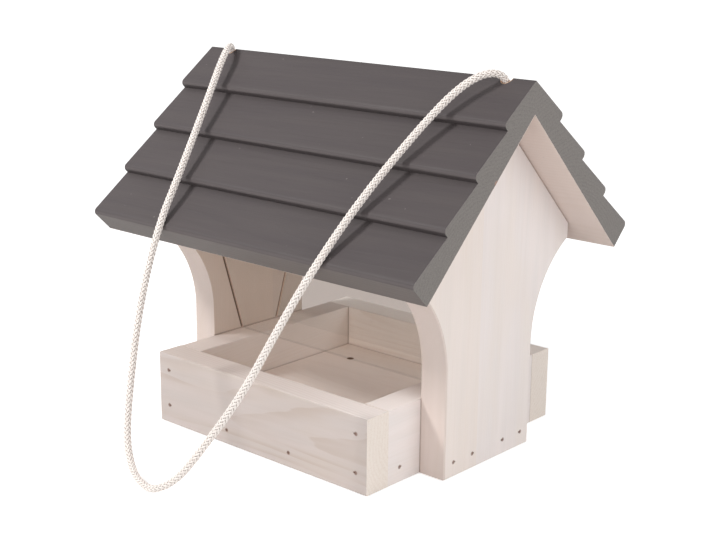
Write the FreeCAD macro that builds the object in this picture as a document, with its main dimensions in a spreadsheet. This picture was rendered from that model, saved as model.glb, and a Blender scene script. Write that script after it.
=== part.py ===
import FreeCAD, Part
from collections import namedtuple
import math
import os
import re
import Sketcher
from FreeCAD import Placement, Rotation, Vector

# A hanging bird feeder of planed softwood: a tray, two gables with coved sides, two clear panes
# that make a seed hopper between them, and a lapped roof that slides up its rope for filling.
# X runs along the ridge, Y from front to back, Z up, and the origin is under the tray's middle.

# Driving sizes, in millimetres and degrees. Every name has an underscore.
SIZES = (
    ("tray_length", 192, "tray over its front board, along X"),
    ("tray_depth", 192, "tray over its front and back boards, along Y"),
    ("tray_height", 50, "height of the four boards round the tray"),
    ("board_thickness", 20, "the four boards round the tray"),
    ("floor_thickness", 20, "floor board"),
    ("floor_gap", 0.4, "seam between the floor and the boards round it"),
    ("drain_diameter", 5, "drain holes in the floor"),
    ("drain_inset", 26, "drain holes in from the boards round the floor"),
    ("edge_break", 0.8, "sanded edges of the boards"),
    ("gable_thickness", 20, "gable boards"),
    ("foot_width", 90, "gable where it is nailed to the tray"),
    ("head_width", 166, "gable under the roof"),
    ("cove_start", 69.5, "height where the cove leaves the foot"),
    ("cove_radius", 76, "cove between foot and head"),
    ("shoulder_rise", 10.46, "upright edge between the cove and the roof"),
    ("roof_gap", 0.3, "roof above the gables at rest"),
    ("roof_pitch", 45, "slope of the roof"),
    ("roof_overhang", 26.5, "roof past the gables at each end"),
    ("course_run", 38.5, "one course of boards, down the slope"),
    ("course_count", 4, "courses on each slope"),
    ("lap_thickness", 20, "slope at the nose of a course"),
    ("lap_step", 5.5, "height of the step below a nose"),
    ("nose_radius", 3, "rounding of each nose"),
    ("pane_thickness", 2, "clear sheet"),
    ("pane_lean", 17, "panes lean outward from upright"),
    ("pane_foot", 18.5, "outer foot of a pane from the middle"),
    ("pane_foot_gap", 0.1, "pane above the side boards that it stands on"),
    ("pane_top_gap", 2, "pane below the roof"),
    ("groove_depth", 6, "grooves for the panes in the gables"),
    ("groove_fit", 0.3, "pane to groove, on each side and at its end"),
    ("groove_overrun", 12, "cutter run out past the top of a gable"),
    ("rope_diameter", 5, "braided rope"),
    ("rope_sides", 12, "flats that stand for the rope's round section"),
    ("rope_stand_off", 5.5, "rope centre out from a gable's face"),
    ("rope_back", 0.8, "rope lies this far behind the middle of its holes"),
    ("roof_bore", 8, "rope holes through the ridge"),
    ("gable_bore", 7, "rope hole in each gable"),
    ("bore_drop", 17.2, "rope hole in a gable below the roof's inner corner"),
    ("tail_reach", 10.5, "end of a rope tail above the roof's inner corner"),
    ("knot_length", 14, "knot along the rope"),
    ("knot_diameter", 14, "knot at its thickest"),
    ("knot_seat", 9.2, "diameter of the knot where it bears on the gable"),
    ("knot_shoulder", 4, "taper at each end of the knot, along the rope"),
    ("stub_length", 6, "rope end past the knot"),
    ("nail_width", 1.3, "flat brads: shank across"),
    ("nail_thickness", 1.1, "shank the other way"),
    ("nail_crown", 2, "width of a brad's head"),
    ("crown_depth", 0.8, "height of a brad's head"),
    ("crown_recess", 0.5, "head below the surface"),
    ("nail_fit", 0.05, "brad to its slot, all round"),
    ("nail_point", 0.4, "bevel at a brad's point"),
    ("board_nail", 40, "nails through the tray's boards"),
    ("gable_nail", 55, "nails through gable and side board into the floor"),
    ("ridge_nail", 33, "nails through the rear slope into the front one"),
    ("corner_nail_rise", 13, "lower corner nails above the tray's underside"),
    ("corner_nail_drop", 11.5, "upper corner nails below the tray's top"),
    ("floor_nail_spread", 58, "floor nails in the front and back boards, apart"),
    ("side_nail_inset", 12, "floor nails in the side boards, in from their ends"),
    ("gable_nail_inset", 10, "outer gable nails in from the edge of the foot"),
    ("gable_nail_step", 19.5, "inner gable nails in from the outer ones"),
    ("ridge_nail_pitch", 60, "ridge nails apart"),
    ("ridge_nail_count", 4, "nails along the ridge"),
    ("ridge_nail_back", 7, "ridge nails up the slope from the inner corner"),
)

# The free rope's centre line, by hand: out of the left ridge hole, down the front, and back up.
ROPE_ROUTE = (
    (-121.5, 0.8, 240), (-121.5, 0.8, 249.5), (-118.5, -8.5, 253.5), (-110.5, -24, 244),
    (-98, -49, 219.5), (-82, -87, 178), (-67, -120, 147.5), (-64, -138, 100),
    (-55.5, -154, 55), (-45.5, -166.5, 22), (-34, -174.5, 8), (-19, -181.5, 4),
    (-2, -184, 3.2), (14, -177, 12.5), (26.5, -168, 32), (46.5, -152.5, 69),
    (65, -138, 115), (77.5, -124, 147.5), (83.5, -91, 182), (94, -54, 219.5),
    (105, -27.5, 245), (115, -12, 254.5), (121.5, 0.8, 249.5), (121.5, 0.8, 240),
)
ROPE_ARC_SHARE = 0.45  # tangent length of each arc, as a share of the shorter run beside it
PARALLEL = 0.999  # cosine above which two directions count as the same
CLOSE = 0.01  # distance below which two places count as the same

document = FreeCAD.newDocument("bird_feeder")
sheet = document.addObject("Spreadsheet::Sheet", "sizes")
nodes = []

# A plane to sketch on: one of the body's own, moved out along its normal and along its second
# axis, then tilted about its first axis.
Face = namedtuple("Face", "plane out along tilt", defaults=("0", "0", "0"))


def fill_sheet():
    for row, (alias, value, note) in enumerate(SIZES, start=1):
        sheet.set(f"A{row}", note)
        sheet.set(f"B{row}", str(value))
        sheet.setAlias(f"B{row}", alias)
    document.recompute()


def tied(text):
    """An expression in which every size refers to the sheet."""
    return re.sub(r"[a-z]+(?:_[a-z]+)+", r"sizes.\g<0>", text)


def number(text):
    """What an expression is worth now."""
    return float(sheet.evalExpression(tied(text)))


def new_body(name):
    body = document.addObject("PartDesign::Body", name)
    body.Label = name
    nodes.append(body)
    return body


def turn_about(body):
    """Make a twin face the other way, half a turn about the upright axis."""
    body.Placement = Placement(Vector(), Rotation(Vector(0, 0, 1), 180))


def origin_plane(body, role):
    return next(plane for plane in body.Origin.OriginFeatures if plane.Role == role)


def new_sketch(body, name, face):
    sketch = body.newObject("Sketcher::SketchObject", name)
    sketch.AttachmentSupport = [(origin_plane(body, face.plane), "")]
    sketch.MapMode = "FlatFace"
    sketch.AttachmentOffset = Placement(Vector(), Rotation(Vector(1, 0, 0), number(face.tilt)))
    sketch.setExpression("AttachmentOffset.Base.y", tied(face.along))
    sketch.setExpression("AttachmentOffset.Base.z", tied(face.out))
    if face.tilt != "0":
        sketch.setExpression("AttachmentOffset.Rotation.Angle", tied(face.tilt))
    return sketch


def bind_point(sketch, element, point, across, up):
    """Tie a point of a sketch to the sheet by its distances from the origin."""
    for kind, text in (("DistanceX", across), ("DistanceY", up)):
        constraint = Sketcher.Constraint(kind, -1, 1, element, point, number(text))
        sketch.setExpression(f"Constraints[{sketch.addConstraint(constraint)}]", tied(text))


def bind_size(sketch, kind, element, text):
    constraint = Sketcher.Constraint(kind, element, abs(number(text)))
    sketch.setExpression(f"Constraints[{sketch.addConstraint(constraint)}]", f"abs({tied(text)})")


def edge_between(start, end, bend):
    """A line, or an arc of radius bend that turns left, or right if bend is negative."""
    if bend == 0:
        return Part.LineSegment(start, end), (1, 2)
    chord = end - start
    left = Vector(-chord.y, chord.x, 0).normalize()
    rise = math.sqrt(bend ** 2 - (chord.Length / 2) ** 2)
    centre = (start + end) * 0.5 + left * math.copysign(rise, bend)
    circle = Part.Circle(centre, Vector(0, 0, 1), abs(bend))
    first, last = (start, end) if bend > 0 else (end, start)
    arc = Part.ArcOfCircle(circle, circle.parameter(first), circle.parameter(last))
    return arc, (1, 2) if bend > 0 else (2, 1)


def draw_loop(sketch, corners, closed=True):
    """Draw through corners (across, up[, bend]), where bend curves the edge that follows."""
    first = sketch.GeometryCount
    points = [Vector(number(corner[0]), number(corner[1]), 0) for corner in corners]
    bends = [corner[2] if len(corner) > 2 else "0" for corner in corners]
    edge_count = len(corners) if closed else len(corners) - 1
    ends = []
    for index in range(edge_count):
        following = points[(index + 1) % len(points)]
        edge, order = edge_between(points[index], following, number(bends[index]))
        sketch.addGeometry(edge, False)
        ends.append(order)
    for index, (start, _) in enumerate(ends):
        before = (index - 1) % edge_count
        if closed or index > 0:
            sketch.addConstraint(Sketcher.Constraint(
                "Coincident", first + before, ends[before][1], first + index, start))
        bind_point(sketch, first + index, start, *corners[index][:2])
        if bends[index] != "0":
            bind_size(sketch, "Radius", first + index, bends[index])
    if not closed:
        bind_point(sketch, first + edge_count - 1, ends[-1][1], *corners[-1][:2])


def outline(body, name, face, corners, closed=True):
    sketch = new_sketch(body, name, face)
    draw_loop(sketch, corners, closed)
    return sketch


def box_corners(left, right, low, high):
    return (left, low), (right, low), (right, high), (left, high)


def rectangles(body, name, face, spots, width, height):
    """A sketch of equal rectangles, each centred on its spot."""
    sketch = new_sketch(body, name, face)
    for across, up in spots:
        draw_loop(sketch, box_corners(f"{across} - ({width}) / 2", f"{across} + ({width}) / 2",
                                      f"{up} - ({height}) / 2", f"{up} + ({height}) / 2"))
    return sketch


def circles(body, name, face, spots, diameter):
    sketch = new_sketch(body, name, face)
    for index, (across, up) in enumerate(spots):
        centre = Vector(number(across), number(up), 0)
        sketch.addGeometry(Part.Circle(centre, Vector(0, 0, 1), number(diameter) / 2), False)
        bind_point(sketch, index, 3, across, up)
        bind_size(sketch, "Diameter", index, diameter)
    return sketch


def pad(body, sketch, length, inward=False, symmetric=False):
    feature = body.newObject("PartDesign::Pad", sketch.Name + "_pad")
    feature.Profile = sketch
    feature.setExpression("Length", tied(length))
    feature.Reversed = inward
    feature.SideType = "Symmetric" if symmetric else "One side"
    document.recompute()


def pocket(body, sketch, depth=None, reverse=False):
    """Cut a sketch into the body, right through if no depth is given, and see that it did cut."""
    before = body.Shape.Volume
    feature = body.newObject("PartDesign::Pocket", sketch.Name + "_cut")
    feature.Profile = sketch
    feature.Reversed = reverse
    if depth is None:
        feature.Type = "ThroughAll"
    else:
        feature.setExpression("Length", tied(depth))
    document.recompute()
    if body.Shape.Volume >= before:
        raise RuntimeError(f"{feature.Label} cuts nothing")
    return feature


def mirror(body, features, role):
    """Repeat features on the other side of one of the body's planes."""
    feature = body.newObject("PartDesign::Mirrored", features[0].Name + "_twin")
    feature.Originals = features
    feature.MirrorPlane = (origin_plane(body, role), [""])
    body.Tip = feature
    document.recompute()


def dress_edges(body, kind, size, chosen):
    """Chamfer or fillet the edges that a test picks."""
    base = body.Tip
    names = [f"Edge{index}" for index, edge in enumerate(body.Shape.Edges, start=1) if chosen(edge)]
    feature = body.newObject(f"PartDesign::{kind}", f"{body.Name}_{kind.lower()}")
    feature.Base = (base, names)
    feature.setExpression("Size" if kind == "Chamfer" else "Radius", tied(size))
    document.recompute()


# Heights, depths and places that several pieces share
GABLE_OUTER = "(tray_length / 2 + gable_thickness)"
TRAY_INNER_X = "(tray_length / 2 - board_thickness)"
TRAY_INNER_Y = "(tray_depth / 2 - board_thickness)"
COVE_INSET = "(cove_radius - (head_width - foot_width) / 2)"
COVE_TOP = f"(cove_start + sqrt(cove_radius ^ 2 - {COVE_INSET} ^ 2))"
SHOULDER = f"({COVE_TOP} + shoulder_rise)"
GABLE_PEAK = f"({SHOULDER} + head_width / 2 * tan(roof_pitch))"
ROOF_CORNER = f"({GABLE_PEAK} + roof_gap / cos(roof_pitch))"  # the roof's inner corner
ROPE_X = f"({GABLE_OUTER} + rope_stand_off)"
ROPE_BORE_Z = f"({ROOF_CORNER} - bore_drop)"
LAP_THIN = "(lap_thickness - lap_step)"
MITRE_TOP = f"(0 - {LAP_THIN} * tan(roof_pitch))"  # down the slope, so above its inner corner
PANE_SPACE = f"({ROOF_CORNER} - pane_foot * tan(roof_pitch) - tray_height - pane_foot_gap)"
PANE_HEIGHT = (f"(({PANE_SPACE} - pane_top_gap / cos(roof_pitch))"
               " / (cos(pane_lean) + sin(pane_lean) * tan(roof_pitch)))")


def slope_point(down, out):
    """Y and Z on the rear slope: down it from the inner corner, and out from its underside."""
    across = f"(({down}) * cos(roof_pitch) + ({out}) * sin(roof_pitch))"
    up = f"({ROOF_CORNER} - ({down}) * sin(roof_pitch) + ({out}) * cos(roof_pitch))"
    return across, up


def pane_point(up_pane, inward):
    """Y and Z on the rear pane: up it from its outer foot, and in from its outer face."""
    across = f"(pane_foot + ({up_pane}) * sin(pane_lean) - ({inward}) * cos(pane_lean))"
    rise = f"(({up_pane}) * cos(pane_lean) + ({inward}) * sin(pane_lean))"
    return across, f"(tray_height + pane_foot_gap + {rise})"


def both_sides(across, up):
    return (across, up), (f"0 - ({across})", up)


# Outer surfaces that nails enter, and the places of the nails on them
FRONT_FACE = Face("XZ_Plane", "tray_depth / 2")
SIDE_FACE = Face("YZ_Plane", "tray_length / 2")
GABLE_FACE = Face("YZ_Plane", GABLE_OUTER)
RIDGE_NAIL_OUT = f"({LAP_THIN} - lap_step * (ridge_nail_back + {MITRE_TOP}) / course_run)"
RIDGE_NAIL_Y, RIDGE_NAIL_Z = slope_point("0 - ridge_nail_back", RIDGE_NAIL_OUT)
RIDGE_FACE = Face("XY_Plane", RIDGE_NAIL_Z, RIDGE_NAIL_Y, "0 - roof_pitch")
RIDGE_FACE_TURNED = Face("XY_Plane", RIDGE_NAIL_Z, f"0 - {RIDGE_NAIL_Y}", "roof_pitch")
CORNER_X = "tray_length / 2 - board_thickness / 2"
GABLE_NAIL_Y = "foot_width / 2 - gable_nail_inset"
CORNER_NAILS = (both_sides(CORNER_X, "corner_nail_rise")
                + both_sides(CORNER_X, "tray_height - corner_nail_drop"))
FLOOR_NAILS = both_sides("floor_nail_spread / 2", "floor_thickness / 2")
SIDE_NAILS = both_sides(f"{TRAY_INNER_Y} - side_nail_inset", "floor_thickness / 2")
GABLE_NAILS = (both_sides(GABLE_NAIL_Y, "floor_thickness / 2")
               + both_sides(f"{GABLE_NAIL_Y} - gable_nail_step", "floor_thickness / 2"))


def ridge_nail_spots():
    count = round(number("ridge_nail_count"))
    return [(f"ridge_nail_pitch * {index - (count - 1) / 2}", "0") for index in range(count)]


def slot_nails(body, name, face, spots, length, entry=False):
    """Slots for like brads, and room for their heads in the board that they enter."""
    thickness = "nail_thickness + 2 * nail_fit"
    shanks = rectangles(body, name, face, spots, "nail_width + 2 * nail_fit", thickness)
    slots = [pocket(body, shanks, f"crown_recess + {length} + nail_fit")]
    if entry:
        crowns = rectangles(body, name + "_crowns", face, spots, "nail_crown + 2 * nail_fit", thickness)
        slots.append(pocket(body, crowns, "crown_recess + crown_depth"))
    return slots


def make_nails(name, face, spots, length, turned=False):
    """Like brads in one node: chisel-pointed shanks, and heads set a little below the surface."""
    body = new_body(name)
    body.AllowCompound = True
    sunk = face._replace(out=f"{face.out} - crown_recess * cos({face.tilt})",
                         along=f"{face.along} + crown_recess * sin({face.tilt})")
    shanks = rectangles(body, name + "_shanks", sunk, spots, "nail_width", "nail_thickness")
    pad(body, shanks, length, inward=True)
    across = shanks.Placement.Rotation.multVec(Vector(1, 0, 0))
    outward = shanks.Placement.Rotation.multVec(Vector(0, 0, 1))

    def at_tip(edge):
        depth = (shanks.Placement.Base - edge.CenterOfMass).dot(outward)
        return abs(edge.Curve.Direction.dot(across)) > PARALLEL and depth > number(length) / 2

    dress_edges(body, "Chamfer", "nail_point", at_tip)
    crowns = rectangles(body, name + "_crowns", sunk, spots, "nail_crown", "nail_thickness")
    pad(body, crowns, "crown_depth", inward=True)
    if turned:
        turn_about(body)


def runs_along(edge, axis):
    """True of a straight edge along X, Y or Z, given as 0, 1 or 2."""
    return isinstance(edge.Curve, Part.Line) and abs(edge.Curve.Direction[axis]) > PARALLEL


def make_long_board(name, turned=False):
    """Front or back board of the tray, lapped over the ends of the side boards."""
    body = new_body(name)
    end = outline(body, name + "_end", Face("YZ_Plane"), box_corners(
        "0 - tray_depth / 2", f"0 - {TRAY_INNER_Y}", "0", "tray_height"))
    pad(body, end, "tray_length", symmetric=True)
    middle_height = number("tray_height / 2")
    outer = -number("tray_depth / 2")

    def is_sanded(edge):
        middle = edge.CenterOfMass
        return runs_along(edge, 0) and (middle.z > middle_height or abs(middle.y - outer) < CLOSE)

    dress_edges(body, "Fillet", "edge_break", is_sanded)
    slot_nails(body, name + "_corner", FRONT_FACE, CORNER_NAILS, "board_nail", entry=True)
    slot_nails(body, name + "_floor", FRONT_FACE, FLOOR_NAILS, "board_nail", entry=True)
    if turned:
        turn_about(body)


def make_side_board(name, turned=False):
    """Side board of the tray, between the long boards and inside a gable."""
    body = new_body(name)
    end = outline(body, name + "_end", Face("XZ_Plane"), box_corners(
        TRAY_INNER_X, "tray_length / 2", "0", "tray_height"))
    pad(body, end, f"2 * {TRAY_INNER_Y}", symmetric=True)
    middle_height = number("tray_height / 2")
    dress_edges(body, "Fillet", "edge_break",
                lambda edge: runs_along(edge, 1) and edge.CenterOfMass.z > middle_height)
    corners = slot_nails(body, name + "_corner", FRONT_FACE, CORNER_NAILS[::2], "board_nail")
    mirror(body, corners, "XZ_Plane")
    slot_nails(body, name + "_floor", SIDE_FACE, SIDE_NAILS, "board_nail", entry=True)
    slot_nails(body, name + "_gable", GABLE_FACE, GABLE_NAILS, "gable_nail")
    if turned:
        turn_about(body)


def make_floor():
    """Floor board with drain holes, nailed from all four sides."""
    body = new_body("tray_floor")
    half_x = f"{TRAY_INNER_X} - floor_gap"
    half_y = f"{TRAY_INNER_Y} - floor_gap"
    plan = outline(body, "floor_plan", Face("XY_Plane"), box_corners(
        f"0 - ({half_x})", half_x, f"0 - ({half_y})", half_y))
    pad(body, plan, "floor_thickness")
    drain_x = f"{TRAY_INNER_X} - drain_inset"
    drain_y = f"{TRAY_INNER_Y} - drain_inset"
    drains = both_sides(drain_x, drain_y) + both_sides(drain_x, f"0 - ({drain_y})")
    pocket(body, circles(body, "drains", Face("XY_Plane"), drains, "drain_diameter"), reverse=True)
    front = slot_nails(body, "floor_front", FRONT_FACE, FLOOR_NAILS, "board_nail")
    mirror(body, front, "XZ_Plane")
    side = slot_nails(body, "floor_side", SIDE_FACE, SIDE_NAILS, "board_nail")
    mirror(body, side, "YZ_Plane")
    gable = slot_nails(body, "floor_gable", GABLE_FACE, GABLE_NAILS, "gable_nail")
    mirror(body, gable, "YZ_Plane")


def gable_corners():
    """A gable's outline as Y and Z: straight foot, cove, shoulder and peak, on both sides."""
    right = [("foot_width / 2", "0"), ("foot_width / 2", "cove_start", "0 - cove_radius"),
             ("head_width / 2", COVE_TOP), ("head_width / 2", SHOULDER)]
    left = [("0 - head_width / 2", SHOULDER), ("0 - head_width / 2", COVE_TOP, "0 - cove_radius"),
            ("0 - foot_width / 2", "cove_start"), ("0 - foot_width / 2", "0")]
    return right + [("0", GABLE_PEAK)] + left


def make_gable(name, turned=False):
    """Gable with coved sides, a slanted groove for each pane and a bore for the rope."""
    body = new_body(name)
    inner = Face("YZ_Plane", "tray_length / 2")
    pad(body, outline(body, name + "_outline", inner, gable_corners()), "gable_thickness")
    outer = number(GABLE_OUTER)
    dress_edges(body, "Chamfer", "edge_break", lambda edge: edge.BoundBox.XMin > outer - CLOSE)
    groove_top = f"{PANE_HEIGHT} + pane_top_gap + groove_overrun"
    groove = [pane_point(up_pane, inward) for up_pane, inward in (
        ("0 - groove_fit", "0 - groove_fit"), (groove_top, "0 - groove_fit"),
        (groove_top, "pane_thickness + groove_fit"), ("0 - groove_fit", "pane_thickness + groove_fit"))]
    cut = pocket(body, outline(body, name + "_groove", inner, groove), "groove_depth", reverse=True)
    mirror(body, [cut], "XZ_Plane")
    rope = circles(body, name + "_rope", GABLE_FACE, [("0", ROPE_BORE_Z)], "gable_bore")
    pocket(body, rope)
    slot_nails(body, name + "_nail", GABLE_FACE, GABLE_NAILS, "gable_nail", entry=True)
    if turned:
        turn_about(body)


def make_pane(name, turned=False):
    """Clear sheet that slides down its grooves and stands on the side boards, leaning outward."""
    body = new_body(name)
    corners = [pane_point(up_pane, inward) for up_pane, inward in (
        ("0", "0"), (PANE_HEIGHT, "0"), (PANE_HEIGHT, "pane_thickness"), ("0", "pane_thickness"))]
    section = outline(body, name + "_section", Face("YZ_Plane"), corners)
    pad(body, section, "tray_length + 2 * (groove_depth - groove_fit)", symmetric=True)
    if turned:
        turn_about(body)


def slope_corners():
    """A slope's section: lapped courses that thicken to a nose, and a mitre at the ridge."""
    corners = [slope_point("0", "0"), slope_point(MITRE_TOP, LAP_THIN)]
    noses = []
    for course in range(1, round(number("course_count")) + 1):
        foot = f"({MITRE_TOP} + course_run * {course})"
        noses.append(slope_point(foot, "lap_thickness"))
        corners += [noses[-1], slope_point(foot, LAP_THIN)]
    corners[-1] = slope_point(foot, "0")
    return corners, noses


def make_slope(name, nail_face, entry, turned=False):
    """One slope of the roof, lapped in courses, with half of each rope hole in its mitre."""
    body = new_body(name)
    corners, noses = slope_corners()
    section = outline(body, name + "_section", Face("YZ_Plane"), corners)
    pad(body, section, f"2 * ({GABLE_OUTER} + roof_overhang)", symmetric=True)
    tips = [Vector(0, number(across), number(up)) for across, up in noses]

    def on_nose(edge):
        middle = edge.CenterOfMass
        return runs_along(edge, 0) and any((middle - tip).Length < CLOSE for tip in tips)

    dress_edges(body, "Fillet", "min(nose_radius; lap_step * 0.6)", on_nose)
    rope = circles(body, name + "_rope", Face("XY_Plane"), both_sides(ROPE_X, "0"), "roof_bore")
    pocket(body, rope, reverse=True)
    slot_nails(body, name + "_nail", nail_face, ridge_nail_spots(), "ridge_nail", entry=entry)
    if turned:
        turn_about(body)


def rope_section(across, up):
    """Corners of the rope's section about a point."""
    sides = round(number("rope_sides"))
    angles = [360 / sides * (index + 0.5) for index in range(sides)]
    return [(f"{across} + rope_diameter / 2 * cos({angle})", f"{up} + rope_diameter / 2 * sin({angle})")
            for angle in angles]


def make_rope_tail(name, hand):
    """Rope below the ridge hole, bent through the gable to its knot."""
    body = new_body(name)
    top = f"{ROOF_CORNER} + tail_reach"
    path = outline(body, name + "_path", Face("XZ_Plane", "0 - rope_back"), (
        (f"{hand} * {ROPE_X}", top),
        (f"{hand} * {ROPE_X}", f"{ROPE_BORE_Z} + rope_stand_off", f"{-hand} * rope_stand_off"),
        (f"{hand} * {GABLE_OUTER}", ROPE_BORE_Z),
        (f"{hand} * tray_length / 2", ROPE_BORE_Z)), closed=False)
    section = outline(body, name + "_section", Face("XY_Plane", top),
                      rope_section(f"{hand} * {ROPE_X}", "rope_back"))
    pipe = body.newObject("PartDesign::AdditivePipe", name + "_pipe")
    pipe.Profile = section
    pipe.Spine = (path, ["Edge1", "Edge2", "Edge3"])
    document.recompute()


def make_knot(name, hand):
    """Outer shape of the knot that bears on the inside of a gable, with its short end."""
    body = new_body(name)

    def place(along, diameter):
        return f"{hand} * (tray_length / 2 - ({along}))", f"({diameter}) / 2"

    half = outline(body, name + "_half", Face("XZ_Plane", "0 - rope_back", ROPE_BORE_Z), (
        place("0", "0"), place("0", "knot_seat"), place("knot_shoulder", "knot_diameter"),
        place("knot_length - knot_shoulder", "knot_diameter"), place("knot_length", "rope_diameter"),
        place("knot_length + stub_length", "rope_diameter"), place("knot_length + stub_length", "0")))
    turned = body.newObject("PartDesign::Revolution", name + "_turned")
    turned.Profile = half
    turned.ReferenceAxis = (half, ["H_Axis"])
    turned.Angle = 360
    document.recompute()


def rounded_route(points):
    """Straight runs joined by tangent arcs, with the arcs' radii."""
    points = [Vector(*point) for point in points]
    edges = []
    radii = []
    start = points[0]
    for before, corner, after in zip(points, points[1:], points[2:]):
        incoming = (corner - before).normalize()
        outgoing = (after - corner).normalize()
        half_turn = incoming.getAngle(outgoing) / 2
        reach = ROPE_ARC_SHARE * min(before.distanceToPoint(corner), corner.distanceToPoint(after))
        radius = reach / math.tan(half_turn)
        first = corner - incoming * reach
        last = corner + outgoing * reach
        inward = (outgoing - incoming).normalize()
        crown = corner + inward * (radius / math.cos(half_turn) - radius)
        edges.append(Part.LineSegment(start, first).toShape())
        edges.append(Part.Arc(first, crown, last).toShape())
        radii.append(radius)
        start = last
    edges.append(Part.LineSegment(start, points[-1]).toShape())
    return Part.Wire(edges), radii


def make_hanging_rope():
    """The free loop of rope between the two ridge holes."""
    route, radii = rounded_route(ROPE_ROUTE)
    start_x, start_y, start_z = ROPE_ROUTE[0]
    corners = [Vector(number(x), number(y), start_z) for x, y in rope_section(start_x, start_y)]
    section = Part.makePolygon(corners + corners[:1])
    rope = document.addObject("Part::Feature", "hanging_rope")
    rope.Shape = route.makePipeShell([section], True, False)
    nodes.append(rope)
    print("rope length %.1f, volume over section times length %.4f"
          % (route.Length, rope.Shape.Volume / (Part.Face(section).Area * route.Length)))
    print("rope arc radii", " ".join("%.1f" % radius for radius in radii))


def make_feeder():
    make_long_board("tray_front_board")
    make_long_board("tray_back_board", turned=True)
    make_side_board("tray_side_right")
    make_side_board("tray_side_left", turned=True)
    make_floor()
    make_gable("gable_right")
    make_gable("gable_left", turned=True)
    make_pane("rear_pane")
    make_pane("front_pane", turned=True)
    make_slope("roof_rear", RIDGE_FACE, entry=True)
    make_slope("roof_front", RIDGE_FACE_TURNED, entry=False, turned=True)
    make_nails("front_board_nails", FRONT_FACE, CORNER_NAILS + FLOOR_NAILS, "board_nail")
    make_nails("back_board_nails", FRONT_FACE, CORNER_NAILS + FLOOR_NAILS, "board_nail", turned=True)
    make_nails("side_right_nails", SIDE_FACE, SIDE_NAILS, "board_nail")
    make_nails("side_left_nails", SIDE_FACE, SIDE_NAILS, "board_nail", turned=True)
    make_nails("gable_right_nails", GABLE_FACE, GABLE_NAILS, "gable_nail")
    make_nails("gable_left_nails", GABLE_FACE, GABLE_NAILS, "gable_nail", turned=True)
    make_nails("ridge_nails", RIDGE_FACE, ridge_nail_spots(), "ridge_nail")
    for side, hand in (("left", -1), ("right", 1)):
        make_rope_tail(f"rope_tail_{side}", hand)
        make_knot(f"rope_knot_{side}", hand)
    make_hanging_rope()


def check_document():
    document.recompute()
    for item in document.Objects:
        if "Invalid" in item.State or "Error" in item.State:
            raise RuntimeError(f"{item.Label} did not compute: {item.State}")
    for node in nodes:
        if node.Shape.isNull() or not node.Shape.isValid():
            raise RuntimeError(f"{node.Label} has no valid shape")


def export_nodes():
    os.makedirs("parts", exist_ok=True)
    for node in nodes:
        node.Shape.exportStep(f"parts/{node.Label}.step")
        box = node.Shape.BoundBox
        print("%-18s %d solids %10.0f mm3  x %7.2f %7.2f  y %7.2f %7.2f  z %7.2f %7.2f"
              % (node.Label, len(node.Shape.Solids), node.Shape.Volume,
                 box.XMin, box.XMax, box.YMin, box.YMax, box.ZMin, box.ZMax))


fill_sheet()
make_feeder()
check_document()
export_nodes()
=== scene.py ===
# %% [markdown]
# A small bird feeder with a gabled roof: whitewashed softwood boards, a grey painted roof cut to
# look like lapped boards, two clear panes that hold the seed, and a braided rope to hang it by.
# The boards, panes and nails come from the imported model. This lesson gives them their finish and
# makes what a solid model can't show well: the braid of the rope and its knots.

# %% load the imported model
import math

import bmesh
import bpy
import numpy as np
from mathutils import Matrix, Vector


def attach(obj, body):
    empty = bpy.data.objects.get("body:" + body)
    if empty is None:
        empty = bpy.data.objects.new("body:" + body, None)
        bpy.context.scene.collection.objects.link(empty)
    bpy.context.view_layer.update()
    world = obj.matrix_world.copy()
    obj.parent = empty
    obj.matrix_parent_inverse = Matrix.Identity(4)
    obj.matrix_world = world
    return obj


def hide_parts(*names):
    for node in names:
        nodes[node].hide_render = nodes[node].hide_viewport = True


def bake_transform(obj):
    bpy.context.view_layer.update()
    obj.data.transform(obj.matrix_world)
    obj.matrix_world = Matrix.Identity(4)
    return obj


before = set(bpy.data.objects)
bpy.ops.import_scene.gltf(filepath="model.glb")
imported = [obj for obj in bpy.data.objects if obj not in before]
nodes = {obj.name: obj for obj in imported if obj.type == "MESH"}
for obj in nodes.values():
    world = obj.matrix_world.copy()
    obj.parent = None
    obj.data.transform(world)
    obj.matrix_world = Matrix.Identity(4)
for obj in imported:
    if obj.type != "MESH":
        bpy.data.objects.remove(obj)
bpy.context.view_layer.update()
scene = bpy.context.scene
MM = 0.001

# %% [markdown]
# The camera stands where the photographer stood. That place was worked out from the corners of
# the boards: each corner's spot in the picture has to come from one camera position, one
# direction and one focal length. A long lens from about a metre keeps the boards' edges almost
# parallel, as product pictures do.

# %% camera
CAMERA_PLACE = Vector((0.6067, -0.6760, 0.3470))
YAW, PITCH, ROLL = (math.radians(angle) for angle in (41.83, 14.77, 0.49))
SENSOR_WIDTH = 36
PICTURE_WIDTH = 716
FOCAL_PIXELS = 1367.55

camera_data = bpy.data.cameras.new("camera")
camera_data.sensor_width = SENSOR_WIDTH
camera_data.lens = FOCAL_PIXELS * SENSOR_WIDTH / PICTURE_WIDTH
camera_data.clip_start = 0.05
camera = bpy.data.objects.new("camera", camera_data)
scene.collection.objects.link(camera)
ahead = Vector((-math.sin(YAW) * math.cos(PITCH), math.cos(YAW) * math.cos(PITCH), -math.sin(PITCH)))
level_right = Vector((math.cos(YAW), math.sin(YAW), 0))
level_up = level_right.cross(ahead)
right = level_right * math.cos(ROLL) + level_up * math.sin(ROLL)
up = level_up * math.cos(ROLL) - level_right * math.sin(ROLL)
camera.matrix_world = Matrix.Translation(CAMERA_PLACE) @ Matrix((right, up, -ahead)).transposed().to_4x4()
scene.camera = camera
scene.view_settings.view_transform = "Standard"
print("lens", round(camera_data.lens, 2), "mm")

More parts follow.
